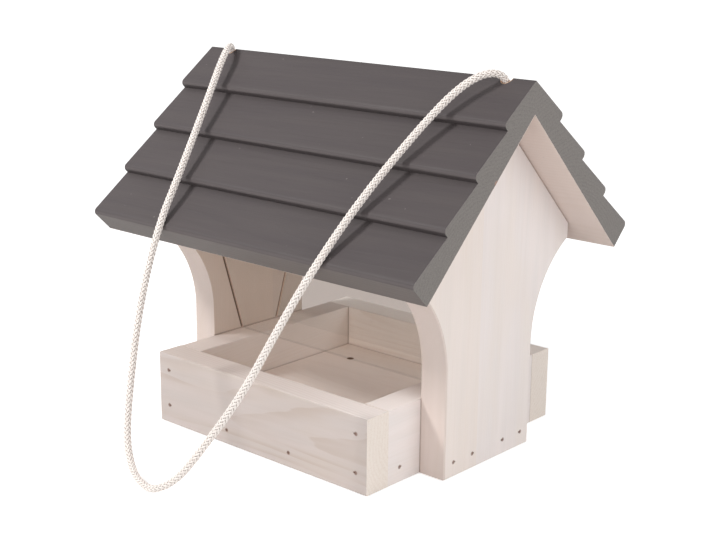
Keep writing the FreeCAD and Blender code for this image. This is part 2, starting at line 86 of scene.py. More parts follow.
# %% [markdown]
# A finish in Blender is a small network of nodes. Written as code, node by node, it is hard to
# read, so one class wraps a node's output. Adding or multiplying two of these adds the Math node
# that does it, and a mask can be written as 1 - mask. A second class holds a tree of nodes while
# it is made, and its method `node` adds any other kind of node. The Mix node's colour sockets
# share their names with others, so they are found by number.

# %% arithmetic on shader sockets
class Wire:
    """The output of a shader node, on which Python's arithmetic works."""

    def __init__(self, finish, socket):
        self.finish = finish
        self.socket = socket

    def math(self, operation, *values):
        inputs = dict(enumerate(values))
        return self.finish.node("Math", {"operation": operation}, inputs)

    def __add__(self, other):
        return self.math("ADD", self, other)

    def __sub__(self, other):
        return self.math("SUBTRACT", self, other)

    def __rsub__(self, other):
        return self.math("SUBTRACT", other, self)

    def __mul__(self, other):
        return self.math("MULTIPLY", self, other)

    def __truediv__(self, other):
        return self.math("DIVIDE", self, other)

    def __abs__(self):
        return self.math("ABSOLUTE", self)

    __radd__ = __add__
    __rmul__ = __mul__

    def root(self):
        return self.math("SQRT", self)

    def fraction(self):
        return self.math("FRACT", self)

    def least(self, other):
        return self.math("MINIMUM", self, other)

    def most(self, other):
        return self.math("MAXIMUM", self, other)

    def step(self, low, high):
        """0 below low and 1 above high, with a soft change between; low may be above high."""
        settings = {"interpolation_type": "SMOOTHSTEP"}
        ends = {"Value": self, "From Min": min(low, high), "From Max": max(low, high)}
        rising = self.finish.node("MapRange", settings, ends)
        return rising if low <= high else 1 - rising


MIX_SHARE, MIX_FIRST, MIX_SECOND, MIX_RESULT = 0, 6, 7, 2


class Network:
    """A tree of shader nodes, of a material or of the world."""

    def __init__(self, tree):
        self.tree = tree

    def node(self, kind, settings=None, inputs=None, output=0):
        made = self.tree.nodes.new("ShaderNode" + kind)
        for key, value in (settings or {}).items():
            if key == "stops":
                self.set_ramp(made.color_ramp, value)
            else:
                setattr(made, key, value)
        for key, value in (inputs or {}).items():
            self.join(made.inputs[key], value)
        return Wire(self, made.outputs[output])

    def join(self, socket, value):
        if isinstance(value, Wire):
            self.tree.links.new(value.socket, socket)
        else:
            socket.default_value = value

    def set_ramp(self, ramp, stops):
        while len(ramp.elements) < len(stops):
            ramp.elements.new(1)
        for element, (place, value) in zip(ramp.elements, stops):
            element.position = place
            element.color = value if hasattr(value, "__len__") else (value, value, value, 1)

    def place(self):
        """A point's coordinates in metres, which move with the piece."""
        return self.node("TexCoord", output="Object")

    def mix(self, share, first, second, blend="MIX"):
        settings = {"data_type": "RGBA", "blend_type": blend}
        inputs = {MIX_SHARE: share, MIX_FIRST: first, MIX_SECOND: second}
        return self.node("Mix", settings, inputs, output=MIX_RESULT)

    def noise(self, place, scale, detail=2.0, roughness=0.5):
        inputs = {"Vector": place, "Scale": scale, "Detail": detail, "Roughness": roughness}
        return self.node("TexNoise", {}, inputs)

    def bump(self, height, strength, distance):
        return self.node("Bump", {}, {"Height": height, "Strength": strength, "Distance": distance})


class Finish(Network):
    """A material, with the Principled shader that its nodes feed."""

    def __init__(self, name, **constants):
        self.material = bpy.data.materials.new(name)
        self.material.use_nodes = True
        super().__init__(self.material.node_tree)
        self.shader = self.tree.nodes["Principled BSDF"]
        for socket, value in constants.items():
            self.feed(socket.replace("_", " "), value)

    def feed(self, socket, value):
        self.join(self.shader.inputs[socket], value)


def colour(red, green, blue):
    """A colour as a photograph states it, 0 to 255, turned to the linear values of a shader."""
    linear = [(c / 255 / 12.92) if c <= 10 else ((c / 255 + 0.055) / 1.055) ** 2.4
              for c in (red, green, blue)]
    return (*linear, 1)


print("shader arithmetic is ready")

# %% [markdown]
# The rope leaves one ridge hole, falls in a loose loop in front of the feeder, almost down to the
# table, and comes back up to the other hole. Its line is one smooth curve through few given
# points. A rope could be a bent cylinder, but that reads as wire, so this line is only a guide
# that the braid follows.

# %% the rope's line
ROPE_ROUTE = (
    (-121.5, 0.8, 240), (-121.5, 0.8, 249.5), (-115, -8.5, 253.5), (-107, -23.5, 244),
    (-95, -48.5, 219.5), (-78, -88.5, 178), (-71, -115, 145.5), (-63.5, -138, 100),
    (-55.5, -154, 55), (-45.5, -167, 22), (-33, -174, 8), (-17.5, -181, 4), (-0.5, -184, 3),
    (15, -177.5, 12.5), (27, -168.5, 32), (45.5, -151, 68), (63, -134.5, 113.5), (71, -116, 144),
    (78.5, -84.5, 180.5), (90, -47.5, 218.5), (102.5, -23, 244.5), (115, -10, 254),
    (121.5, 0.8, 249.5), (121.5, 0.8, 240),
)
ROPE_DIAMETER = 5 * MM
GUIDE_STEPS = 24


def smooth_line(name, corners, resolution):
    """Points along a smooth curve that the corners steer, as a float array in metres."""
    guide = bpy.data.curves.new(name, "CURVE")
    guide.dimensions = "3D"
    guide.resolution_u = resolution
    spline = guide.splines.new("NURBS")
    spline.points.add(len(corners) - 1)
    for point, corner in zip(spline.points, corners):
        point.co = (*(Vector(corner) * MM), 1)
    spline.order_u = 3
    spline.use_endpoint_u = True
    holder = bpy.data.objects.new(name, guide)
    mesh = bpy.data.meshes.new_from_object(holder)
    points = np.array([vertex.co for vertex in mesh.vertices])
    bpy.data.objects.remove(holder)
    bpy.data.meshes.remove(mesh)
    return points


def line_length(points):
    return float(np.linalg.norm(np.diff(points, axis=0), axis=1).sum())


rope_line = smooth_line("rope_guide", ROPE_ROUTE, GUIDE_STEPS)
print("rope", round(line_length(rope_line), 4), "m along", len(rope_line), "points")

# %% [markdown]
# Looked at closely, the rope is a tube of sixteen flat strands round a core. Eight wind one way
# and eight the other, and each goes over two and under two, which gives the rows of small V
# shapes. A bump texture could fake it, but the edge of the rope would stay smooth, so each strand
# is its own thin tube here. To wind evenly round a curve, the strands need a frame that travels
# along the line without twisting.

# %% braiding
STRANDS_EACH_WAY = 8
LAY = 24 * MM
STRAND_WIDTH = 1.3 * MM
STRAND_THICKNESS = 0.95 * MM
WEAVE_DEPTH = 0.75 * MM
STRAND_SIDES = 8
BRAID_STEP = 0.5 * MM
SMALLEST_TIP = 0.1


def evenly(points, step):
    """The same line with its points a step apart, or a little less."""
    runs = np.linalg.norm(np.diff(points, axis=0), axis=1)
    along = np.concatenate([[0], np.cumsum(runs)])
    count = max(2, math.ceil(along[-1] / step) + 1)
    wanted = np.linspace(0, along[-1], count)
    return np.stack([np.interp(wanted, along, points[:, axis]) for axis in range(3)], axis=1), wanted


def travelling_frame(points, start_side):
    """At each point the line's direction and two sides, carried along with no twist."""
    ahead = np.gradient(points, axis=0)
    ahead /= np.linalg.norm(ahead, axis=1, keepdims=True)
    side = np.empty_like(points)
    current = np.array(start_side, float)
    for index, direction in enumerate(ahead):
        current = current - direction * current.dot(direction)
        current /= np.linalg.norm(current)
        side[index] = current
    return ahead, side, np.cross(ahead, side)


def tube_faces(first, ring_count, sides):
    """Quads between neighbouring rings of a tube whose corners start at number first."""
    index = first + np.arange(ring_count * sides).reshape(ring_count, sides)
    here, beyond = index[:-1], index[1:]
    wall = [here, np.roll(here, -1, axis=1), np.roll(beyond, -1, axis=1), beyond]
    return np.concatenate([np.stack(wall, axis=2).reshape(-1, 4),
                           cap_faces(index[0][::-1]), cap_faces(index[-1])])


def strand_tubes(points, girth=1.0, sealed=0.0):
    """Corners, faces and heights of a core and sixteen braided strands that follow a line.

    girth scales the rope's thickness. Over the length sealed, the far end closes to a tip. A
    corner's height is its distance from the rope's middle, 1 at the outside.
    """
    points, along = evenly(points, BRAID_STEP)
    ahead, side, other = travelling_frame(points, (0, 1, 0))
    left_over = along[-1] - along
    closing = girth * np.ones_like(along)
    if sealed:
        closing *= np.sqrt(np.clip(left_over / sealed, SMALLEST_TIP, 1))
    side = side * closing[:, None]
    other = other * closing[:, None]
    around = np.linspace(0, 2 * math.pi, STRAND_SIDES, endpoint=False)[:, None]
    middle = (ROPE_DIAMETER - STRAND_THICKNESS - WEAVE_DEPTH) / 2
    core_radius = middle - STRAND_THICKNESS / 4
    turn = 2 * math.pi * along / LAY
    core_wall = np.cos(around) * side[:, None] + np.sin(around) * other[:, None]
    tubes = [points[:, None] + core_radius * core_wall]
    for hand in (1, -1):
        for strand in range(STRANDS_EACH_WAY):
            angle = hand * turn + 2 * math.pi * strand / STRANDS_EACH_WAY
            crossings = hand * turn * STRANDS_EACH_WAY / 2
            weave = hand * np.cos(math.pi * strand + crossings - math.pi / 4)
            out = np.cos(angle)[:, None] * side + np.sin(angle)[:, None] * other
            centre = points + out * (middle + WEAVE_DEPTH / 2 * weave)[:, None]
            run = np.gradient(centre, axis=0)
            run /= np.linalg.norm(run, axis=1, keepdims=True)
            across = np.cross(out, run)
            across *= closing[:, None] / np.linalg.norm(across, axis=1, keepdims=True)
            outward = np.cross(run, across)
            tubes.append(centre[:, None] + np.cos(around) * STRAND_WIDTH / 2 * across[:, None]
                         + np.sin(around) * STRAND_THICKNESS / 2 * outward[:, None])
    ring_count = len(points)
    faces = [tube_faces(index * ring_count * STRAND_SIDES, ring_count, STRAND_SIDES)
             for index in range(len(tubes))]
    from_middle = [np.linalg.norm(tube - points[:, None], axis=2) / closing[:, None] for tube in tubes]
    heights = np.concatenate(from_middle).ravel() / (ROPE_DIAMETER / 2)
    return np.concatenate(tubes).reshape(-1, 3), np.concatenate(faces), heights


def cap_faces(ring):
    """Quads that close a strand's eight-sided end."""
    return np.array([[ring[0], ring[i], ring[i + 1], ring[i + 2]] for i in (1, 3, 5)])


def rope_piece(name, corners, faces, heights, material):
    mesh = bpy.data.meshes.new(name)
    mesh.from_pydata(corners.tolist(), [], faces.tolist())
    mesh.attributes.new("height", "FLOAT", "POINT").data.foreach_set("value", heights)
    mesh.materials.append(material)
    mesh.polygons.foreach_set("use_smooth", [True] * len(mesh.polygons))
    piece = bpy.data.objects.new(name, mesh)
    scene.collection.objects.link(piece)
    return piece


print("braiding is ready")

# %% [markdown]
# The rope is off-white cord. Its strands are bundles of fine filaments that lie along the strand,
# so the finish needs a slight sheen and fine lines, and painted shade darkens the gaps between the
# strands with a warm tone. The lines come from a noise that is much longer than it is wide.

# %% rope finish
ROPE_LIGHT = colour(252, 246, 241)
ROPE_SOFT = colour(246, 236, 229)
ROPE_GAP_SHADE = colour(162, 147, 138)
GAP_HEIGHTS = (0.72, 0.92)


def rope_finish():
    finish = Finish("cord", Roughness=0.5, Sheen_Weight=0.2)
    place = finish.place()
    fibres = finish.noise(place, 1500)
    cloud = finish.noise(place, 90)
    strand = finish.mix(fibres.step(0.3, 0.7), ROPE_SOFT, ROPE_LIGHT)
    strand = finish.mix(cloud.step(0.35, 0.7) * 0.4, strand, ROPE_SOFT)
    # Painted shade: corners that lie low, between the strands, get the warm dark gap tone.
    height = finish.node("Attribute", {"attribute_name": "height"}, {}, output="Fac")
    finish.feed("Base Color", finish.mix(height.step(*GAP_HEIGHTS), ROPE_GAP_SHADE, strand))
    finish.feed("Normal", finish.bump(fibres, 0.4, 0.0002))
    return finish.material


cord = rope_finish()
rope = rope_piece("hanging_rope_braid", *strand_tubes(rope_line), cord)
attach(rope, "roof")
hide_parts("hanging_rope")
print("rope faces", len(rope.data.polygons))

# %% [markdown]
# Under the ridge the rope turns through a bore in each gable and ends in an overhand knot, which
# carries the feeder. The knot's line is part of a ring that goes twice round with three half
# twists, which is what an overhand knot is when its ends are pulled. The tail between knot and
# roof has to lengthen when the roof lifts, but here it is built once, in place, and follows
# neither the gable nor the roof.

# %% rope tails and knots
ROPE_FROM_MIDDLE, ROPE_BACK, TAIL_TOP = ROPE_ROUTE[-1]
TAIL_MIDDLE = 227
TAIL_TURN = 9
BORE_HEIGHT = 212
GABLE_INSIDE = 96
KNOT_RING = 4.3
KNOT_TWIST = 2.1
KNOT_DROP = 3.2
KNOT_CLEAR = 2.2
KNOT_WIDEN = 1.05
KNOT_GIRTH = 0.84
KNOT_OPENING = 0.16
KNOT_ENTRY = ((-3, 0, 0), (2.5, 1.6, 1.2))
KNOT_LEAVES = (4, -2.2, 3.6)
KNOT_END = (19.5, -1.5, 1.5)
KNOT_STEP = 0.25
KNOT_ROUNDS = 30
KNOT_TIP = 2 * MM


def tail_line(hand):
    x = hand * ROPE_FROM_MIDDLE
    places = ((x, TAIL_TOP), (x, TAIL_MIDDLE), (x, BORE_HEIGHT),
              (x - hand * TAIL_TURN, BORE_HEIGHT), (hand * GABLE_INSIDE, BORE_HEIGHT))
    corners = [(across, ROPE_BACK, height) for across, height in places]
    return smooth_line("tail_guide", corners, GUIDE_STEPS)


def knot_line(hand):
    """In along the bore's axis, twice round the twisted ring, and out to a short end."""
    turn = np.linspace(KNOT_OPENING, 2 * math.pi - KNOT_OPENING, 120)
    reach = KNOT_RING + KNOT_TWIST * np.cos(3 * turn)
    inward = KNOT_RING + KNOT_TWIST + KNOT_CLEAR + reach * np.sin(2 * turn)
    rise = reach * np.cos(2 * turn) - KNOT_DROP
    aside = KNOT_TWIST * np.sin(3 * turn) * KNOT_WIDEN
    ring = np.stack([inward, aside, rise], axis=1)
    entry = np.linspace(*KNOT_ENTRY, 8)
    further, to_side, higher = KNOT_LEAVES
    leave = np.linspace((inward[-1] + further, to_side, higher), KNOT_END, 10)
    points, _ = evenly(np.concatenate([entry, ring, leave]), KNOT_STEP)
    for _ in range(KNOT_ROUNDS):
        points[1:-1] = (points[:-2] + points[1:-1] * 2 + points[2:]) / 4
    across, aside, rise = points.T
    return np.stack([hand * (GABLE_INSIDE - across), ROPE_BACK + aside, BORE_HEIGHT + rise], axis=1) * MM


for side_name, hand in (("left", -1), ("right", 1)):
    tail = rope_piece(f"rope_tail_{side_name}_braid", *strand_tubes(tail_line(hand)), cord)
    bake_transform(tail)
    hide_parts(f"rope_tail_{side_name}")
    strands = strand_tubes(knot_line(hand), girth=KNOT_GIRTH, sealed=KNOT_TIP)
    knot = rope_piece(f"rope_knot_{side_name}_braid", *strands, cord)
    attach(knot, "base")
    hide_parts(f"rope_knot_{side_name}")
    print(side_name, "knot from", (strands[0].min(axis=0) / MM).round(1),
          "to", (strands[0].max(axis=0) / MM).round(1))

# %% [markdown]
# Softwood grows a ring a year: soft and pale in spring, narrow and brown by late summer. A board
# is a slice through those nested cylinders, so the rings show as arcs on its ends, as straight
# lines or long flames on its faces, and they meet at every edge. A flat picture of grain can't do
# that. So the finish works out, for each point inside the wood, how far it is from the heart of
# the tree, and reads the ring from that distance. Each board has its own heart line. A ring
# darkens slowly through the summer and stops short at winter. It isn't quite round either, so its
# distance wanders by a few ring widths and ripples by a part of one.

# %% wood grain
WANDER = 4
RIPPLE = 0.35
DARKENING = (0.3, 0.93)
WINTER = (1.0, 0.94)
X_AXIS, Y_AXIS, Z_AXIS = (1, 0, 0), (0, 1, 0), (0, 0, 1)


def dot(finish, place, axis):
    settings = {"operation": "DOT_PRODUCT"}
    return finish.node("VectorMath", settings, {0: place, 1: tuple(axis)}, output="Value")


def facing(finish, axis):
    """1 where the surface faces along the axis, 0 where it is side on, and -1 where it faces away."""
    return dot(finish, finish.node("TexCoord", output="Normal"), axis)


def grain(finish, along, heart, tilt, ring, seed):
    """The place in millimetres, late wood, fibres, broad bands, the end grain and a stretched noise.

    along is the way the wood grew, heart a point of the tree's middle in millimetres, tilt how
    far the heart line leans for each millimetre along the board, and ring a year's growth. The
    late wood, fibres, bands and end grain are masks, and the noise is a function of its scale.
    """
    place = finish.node("VectorMath", {"operation": "SCALE"}, {0: finish.place(), "Scale": 1 / MM})
    along = Vector(along).normalized()
    lean = (along + Vector(tilt)).normalized()
    first = lean.orthogonal().normalized()
    second = lean.cross(first)
    from_heart = finish.node("VectorMath", {"operation": "SUBTRACT"}, {0: place, 1: tuple(heart)})
    length = dot(finish, from_heart, lean)
    u = dot(finish, from_heart, first)
    v = dot(finish, from_heart, second)

    def stretched(scale, stretch, detail=2.0, roughness=0.5):
        spot = {"X": u * scale + seed, "Y": v * scale, "Z": length * (scale / stretch)}
        return finish.noise(finish.node("CombineXYZ", {}, spot), 1, detail, roughness)

    wander = stretched(0.03, stretch=7, detail=1)
    ripple = stretched(0.2, stretch=26)
    radius = (u * u + v * v).root() + wander * (WANDER * ring) + ripple * (RIPPLE * ring)
    year = (radius / ring).fraction()
    late = year.step(*DARKENING) * year.step(*WINTER)
    fibres = stretched(1.3, stretch=50, detail=3, roughness=0.65)
    bands = stretched(0.12, stretch=14)
    ends = abs(facing(finish, along)).step(0.75, 0.95)
    return place, late, fibres, bands, ends, stretched


print("wood grain is ready")

# %% [markdown]
# Whitewash is thin white paint brushed along the grain and wiped. It stays thick in the soft
# spring wood, thin over the hard lines, and soaks into the ends of the boards, which turn yellower.
# The steel brads rust a little, so each has a brown halo. Mixing a wood colour with a white by a
# mask that knows the grain gives all of that. The rest is painted light and shade: the tray's front
# and the gables' faces that look front and back are darker, the tray's inside is paler, the sawn rim
# is darker at the front left and paler towards the right, at the back and in the left rim's middle,
# and the drain holes' walls are dark. Each of those is one more mask, by place or by the way the
# surface faces.

# %% whitewash
WASH = colour(240, 231, 228)
WASH_COOL = colour(236, 228, 225)
WASH_WARM = colour(239, 228, 220)
WASH_THIN = colour(238, 223, 209)
# Painted light: the tray's inside, and the rims that take this tone, are paler than the outside wash.
WASH_TRAY_PAINTED_LIGHT = colour(255, 247, 240)
WASH_TRAY_DULL = colour(238, 230, 224)
WASH_RIM = colour(240, 232, 228)
# Painted shade: a darker rim tone.
WASH_RIM_SHADED = colour(220, 208, 201)
# Painted shade: a darker tint for the gables' faces that look to the front and back.
COVE_PAINTED_SHADE = (0.77, 0.72, 0.71, 1)
WASH_HOPPER = colour(222, 209, 199)
WOOD_LINE = colour(206, 182, 163)
END_GRAIN = colour(238, 228, 219)
RUST = colour(122, 88, 74)
SEAM = colour(112, 78, 58)
# Painted shade for the walls of the drain holes.
DRAIN_HOLE_SHADE = colour(150, 122, 104)
DRAIN_RADIUS = 2.5
TRAY_TOP = 50
INNER_SHARE, RIM_SHARE, GLUED_SHARE, WARM_SHARE = 0.95, 0.9, 0.3, 0.5
STREAK_SHARE, FIBRE_SHARE = 0.08, 0.1
END_LINE_SHARE, END_PORE_SHARE = 0.1, 0.24
RUST_SHARE, RUST_REACH = 0.75, (1.8, 0.9)


def near(value, wanted, reach=0.8):
    """1 where a coordinate in millimetres is at the wanted place, 0 further off than reach."""
    return abs(value - wanted).step(reach, reach * 0.35)


def axes_of(finish, place):
    outputs = finish.node("SeparateXYZ", {}, {"Vector": place}).socket.node.outputs
    return [Wire(finish, output) for output in outputs]


def nearest_spot(across, up, spots):
    """How far off the closest brad or hole is. The spots are mirrored about the face's middle."""
    nearest = None
    for spot_across, spot_up in spots:
        away = abs(across) - spot_across
        rise = up - spot_up
        distance = (away * away + rise * rise).root()
        nearest = distance if nearest is None else nearest.least(distance)
    return nearest


def whitewashed(name, along, heart, tilt, ring, seed, line_share, seams, inside, inner_tone,
                brads=(), face="XZ", glued_at=None, drains=None, painted_shade=None, cove_shade=None,
                rim=None, rim_change=None, rim_beyond=None):
    """The finish of one board.

    line_share is how strongly the late wood shows. seams, inside and rim_change take x, y and z
    and give masks: of dark joints, of the inner faces, which get inner_tone, and of the part of
    the rim that gets rim_beyond instead of rim. The rim tones are painted light and shade. brads and
    face place the rust stains, and drains the holes, whose walls get painted shade. painted_shade and
    cove_shade are painted shade, darker tints of the whole board and of its sides that face front and
    back.
    Thinner wash starts in front of glued_at, where two planks are glued side by side.
    """
    finish = Finish(name, Specular_IOR_Level=0.25)
    place, late, fibres, bands, ends, stretched = grain(finish, along, heart, tilt, ring, seed)
    x, y, z = axes_of(finish, place)
    streak = stretched(0.45, stretch=40, detail=3, roughness=0.6)
    patch = stretched(0.05, stretch=4)
    shade = finish.mix(bands.step(0.3, 0.7), WASH, WASH_COOL)
    shade = finish.mix(patch.step(0.45, 0.75) * WARM_SHARE, shade, WASH_WARM)
    line = WOOD_LINE
    # Painted shade: the tint darkens the board's faces.
    if painted_shade:
        shade = finish.mix(1.0, shade, painted_shade, "MULTIPLY")
        line = tuple(wood * darkened for wood, darkened in zip(WOOD_LINE, painted_shade))
    # The tray boards' inner tone is painted light; the gables keep a tone of their own inside.
    shade = finish.mix(inside(x, y, z) * INNER_SHARE, shade, inner_tone)
    worn = stretched(0.12, stretch=9).step(0.35, 0.65) * 0.7 + 0.3
    lines = late * worn * line_share
    lines = lines.most(streak.step(0.42, 0.72) * STREAK_SHARE).most(fibres.step(0.5, 0.8) * FIBRE_SHARE)
    # The rim's tones are painted light and shade.
    if rim:
        on_top = z.step(TRAY_TOP - 0.8, TRAY_TOP - 0.5) * facing(finish, Z_AXIS).step(0.75, 0.95)
        tone = finish.mix(rim_change(x, y, z), rim, rim_beyond) if rim_change else rim
        shade = finish.mix(on_top * RIM_SHARE, shade, tone)
        lines = lines * (1 - on_top * 0.5)
    # Painted shade on the sides that face front and back.
    if cove_shade:
        sideways = abs(facing(finish, Y_AXIS)).step(0.3, 0.6)
        shade = finish.mix(sideways, shade, finish.mix(1.0, shade, cove_shade, "MULTIPLY"))
    if glued_at is not None:
        shade = finish.mix(y.step(glued_at + 0.3, glued_at - 0.3) * GLUED_SHARE, shade, WASH_THIN)
    shade = finish.mix(lines, shade, line)
    pores = finish.noise(place, 0.9, detail=3, roughness=0.7)
    end_lines = late * END_LINE_SHARE + pores.step(0.45, 0.75) * END_PORE_SHARE
    shade = finish.mix(ends, shade, finish.mix(end_lines, END_GRAIN, WOOD_LINE))
    shade = finish.mix(seams(x, y, z), shade, SEAM)
    # Painted shade on the walls of the drain holes.
    if drains:
        hole = nearest_spot(x, abs(y), [drains])
        shade = finish.mix(hole.step(DRAIN_RADIUS + 0.3, DRAIN_RADIUS + 0.1), shade, DRAIN_HOLE_SHADE)
    if brads:
        across, up = (dict(X=x, Y=y, Z=z)[axis] for axis in face)
        stain = nearest_spot(across, up, brads).step(*RUST_REACH)
        shade = finish.mix(stain * RUST_SHARE, shade, RUST)
    finish.feed("Base Color", shade)
    finish.feed("Roughness", 0.62 + fibres * 0.18 - late * 0.08)
    relief = late * 0.3 + fibres * 0.5 + streak * 0.5 + ends * pores
    finish.feed("Normal", finish.bump(relief, 0.25, 0.0001))
    return finish.material


def dress(node_name, material):
    """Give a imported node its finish."""
    nodes[node_name].material_slots[0].material = material


print("whitewash is ready")

# %% [markdown]
# Where two boards meet, dirt and shade make a dark line. The solids meet there without a gap, or
# with a very small one, so the line is painted: a mask that is 1 close to the other board's edge.
# More masks tell the tray's inside from its outside, and where the rim changes tone, which is painted
# light and shade.

# %% where boards meet
TRAY_INNER = 76
TRAY_OUTER = 96
FLOOR_TOP = 20
FLOOR_EDGE = 75.6
FOOT_EDGE = 45
FLOOR_SEAM, CORNER_SEAM, RIM_SEAM, FOOT_SEAM, END_SEAM = 0.2, 0.5, 0.4, 0.4, 0.4
RIM_ENDS = 90
RIM_LIGHT_SPAN = (46, 30)


def floor_seams(x, y, z):
    return near(abs(x), FLOOR_EDGE).most(near(abs(y), FLOOR_EDGE)) * FLOOR_SEAM


def cross_board_seams(x, y, z):
    """On the inner faces of the front and back boards."""
    inner_face = near(abs(y), TRAY_INNER, 0.4)
    inner = inner_face * (near(z, FLOOR_TOP) * FLOOR_SEAM).most(near(abs(x), TRAY_INNER) * CORNER_SEAM)
    return inner.most(near(abs(x), TRAY_OUTER, 0.4) * near(y, TRAY_INNER, 0.6) * END_SEAM)


def side_board_seams(x, y, z):
    inner_face = near(abs(x), TRAY_INNER, 0.4)
    outer_face = near(abs(x), TRAY_OUTER, 0.4)
    inner = inner_face * (near(z, FLOOR_TOP) * FLOOR_SEAM).most(near(abs(y), TRAY_INNER) * CORNER_SEAM)
    return inner.most(outer_face * near(abs(y), FOOT_EDGE) * FOOT_SEAM)


def gable_seams(x, y, z):
    against_tray = near(abs(x), TRAY_OUTER, 0.9)
    foot = z.step(TRAY_TOP, TRAY_TOP - 0.5) * FOOT_SEAM
    rim = near(z, TRAY_TOP, 1.0) * RIM_SEAM
    return against_tray * foot.most(rim)


def inside_tray(x, y, z):
    return abs(x).step(TRAY_INNER + 0.3, TRAY_INNER) * abs(y).step(TRAY_INNER + 0.3, TRAY_INNER)


def inside_gable(x, y, z):
    return abs(x).step(TRAY_OUTER + 0.3, TRAY_OUTER)


# Painted light: the front board's rim turns paler towards the right.
def toward_right(x, y, z):
    return x.step(-RIM_ENDS, RIM_ENDS)


# Painted light: the middle of the left rim, under the roof, is painted paler, lifting the shade there.
def under_roof(x, y, z):
    return abs(y).step(*RIM_LIGHT_SPAN)


print("seams are placed")

# %% [markdown]
# Now each board gets its finish. The grain runs along the tray's boards and up the gables. The
# heart's place decides the picture: far outside a board it gives straight lines, and close to it
# long flames. No two boards come from the same place in a tree, so each has its own numbers.

# %% dress the boards
DRAIN_PLACE = (50, 50)
CROSS_BRADS = ((87, 13), (87, 38.5), (29, 10))
SIDE_BRADS = ((65, 10),)
GABLE_BRADS = ((36, 10), (16.5, 10))
# Painted shade: the front board is darker.
FRONT_PAINTED_SHADE = (0.69, 0.66, 0.64, 1)
CROSS_BOARD = dict(brads=CROSS_BRADS, face="XZ", seams=cross_board_seams, inside=inside_tray,
                   inner_tone=WASH_TRAY_PAINTED_LIGHT)
SIDE_BOARD = dict(brads=SIDE_BRADS, face="YZ", seams=side_board_seams, inside=inside_tray)
GABLE = dict(brads=GABLE_BRADS, face="YZ", seams=gable_seams, inside=inside_gable,
             inner_tone=WASH_HOPPER, cove_shade=COVE_PAINTED_SHADE)

dress("tray_front_board", whitewashed(
    "front_board_wash", X_AXIS, heart=(0, -30, 30), tilt=(0, -0.03, 0.05), ring=2.8, seed=3.1,
    line_share=0.34, painted_shade=FRONT_PAINTED_SHADE, rim=WASH_RIM_SHADED, rim_change=toward_right,
    rim_beyond=WASH_RIM, **CROSS_BOARD))
dress("tray_back_board", whitewashed(
    "back_board_wash", X_AXIS, heart=(0, 40, 55), tilt=(0, 0.03, 0.03), ring=2.7, seed=8.7,
    line_share=0.2, rim=WASH_TRAY_PAINTED_LIGHT, **CROSS_BOARD))
dress("tray_side_right", whitewashed(
    "right_side_wash", Y_AXIS, heart=(40, 0, 130), tilt=(0.03, 0, 0.02), ring=2.2, seed=5.3,
    line_share=0.08, inner_tone=WASH_TRAY_PAINTED_LIGHT, rim=WASH_RIM, **SIDE_BOARD))
dress("tray_side_left", whitewashed(
    "left_side_wash", Y_AXIS, heart=(-54, 0, -78), tilt=(0.03, 0, 0.05), ring=2.4, seed=1.9,
    line_share=0.15, inner_tone=WASH_TRAY_DULL, rim=WASH_RIM_SHADED, rim_change=under_roof,
    rim_beyond=WASH_TRAY_PAINTED_LIGHT, **SIDE_BOARD))
dress("tray_floor", whitewashed(
    "floor_wash", X_AXIS, heart=(0, 30, -80), tilt=(0, 0.03, 0.03), ring=3.2, seed=6.1,
    line_share=0.1, seams=floor_seams, inside=inside_tray, inner_tone=WASH_TRAY_PAINTED_LIGHT, drains=DRAIN_PLACE))
dress("gable_right", whitewashed(
    "right_gable_wash", Z_AXIS, heart=(60, -230, 0), tilt=(0.01, 0.02, 0), ring=1.7, seed=2.3,
    line_share=0.08, glued_at=-12, **GABLE))
dress("gable_left", whitewashed(
    "left_gable_wash", Z_AXIS, heart=(-50, 190, 0), tilt=(0.02, 0.02, 0), ring=1.9, seed=7.7,
    line_share=0.1, glued_at=14, **GABLE))
print("whitewashed boards dressed")

# %% [markdown]
# The roof is one board a side, milled so that it looks lapped, and painted grey on the outside
# only. The paint is matt and thin: grain shows through it, more on the ends, where the wood
# drinks paint and dries paler. Each rounded nose gets a painted highlight, a thin paler line, the
# eave's edge is paler, and painted shade darkens a band under each lap. The underside was
# whitewashed with the rest, the rope holes were bored after painting, and one chip at the front
# corner shows the wood. So one finish holds all these looks, and picks one by place: how far a
# point lies above the board's underside, how far down the slope, and how far below the nearest
# lap above it.

# %% roof paint
ROOF_TOP = colour(76, 69, 70)
ROOF_TOP_WARM = colour(80, 73, 73)
ROOF_END = colour(130, 125, 121)
ROOF_LINE = colour(68, 62, 62)
ROOF_NOSE_HIGHLIGHT = colour(92, 85, 85)
ROOF_EAVE = colour(106, 99, 96)
ROOF_SPECK = colour(160, 152, 148)
UNDERSIDE = colour(226, 211, 203)
BARE_WOOD = colour(214, 178, 148)
CHIP_WOOD = colour(168, 136, 122)
CHIP_PLACE = (142.5, -36.5, 192.6)
CHIP_REACH, CHIP_SHARE = (2.6, 2.0), 0.8
ROPE_HOLE_RADIUS = 4
LAST_NOSE = -22.57
COURSE_RUN = 38.5
LAP_MARGIN = 0.3
NOSE_HIGHLIGHT_ZONE, LAP_SHADE_ZONE, LAP_SHADE_SHARE = (36.9, 37.9), (7, 0.4), 0.5
ROOF_LATE, ROOF_FIBRES, UNDERSIDE_FIBRES = 0.1, 0.14, 0.06
ROOF_END_LATE, ROOF_END_PORES, SPECK_SHARE = 0.08, 0.3, 0.25
PAINT_STARTS = (0.35, 0.6)
HALF_ROOT = math.sqrt(0.5)


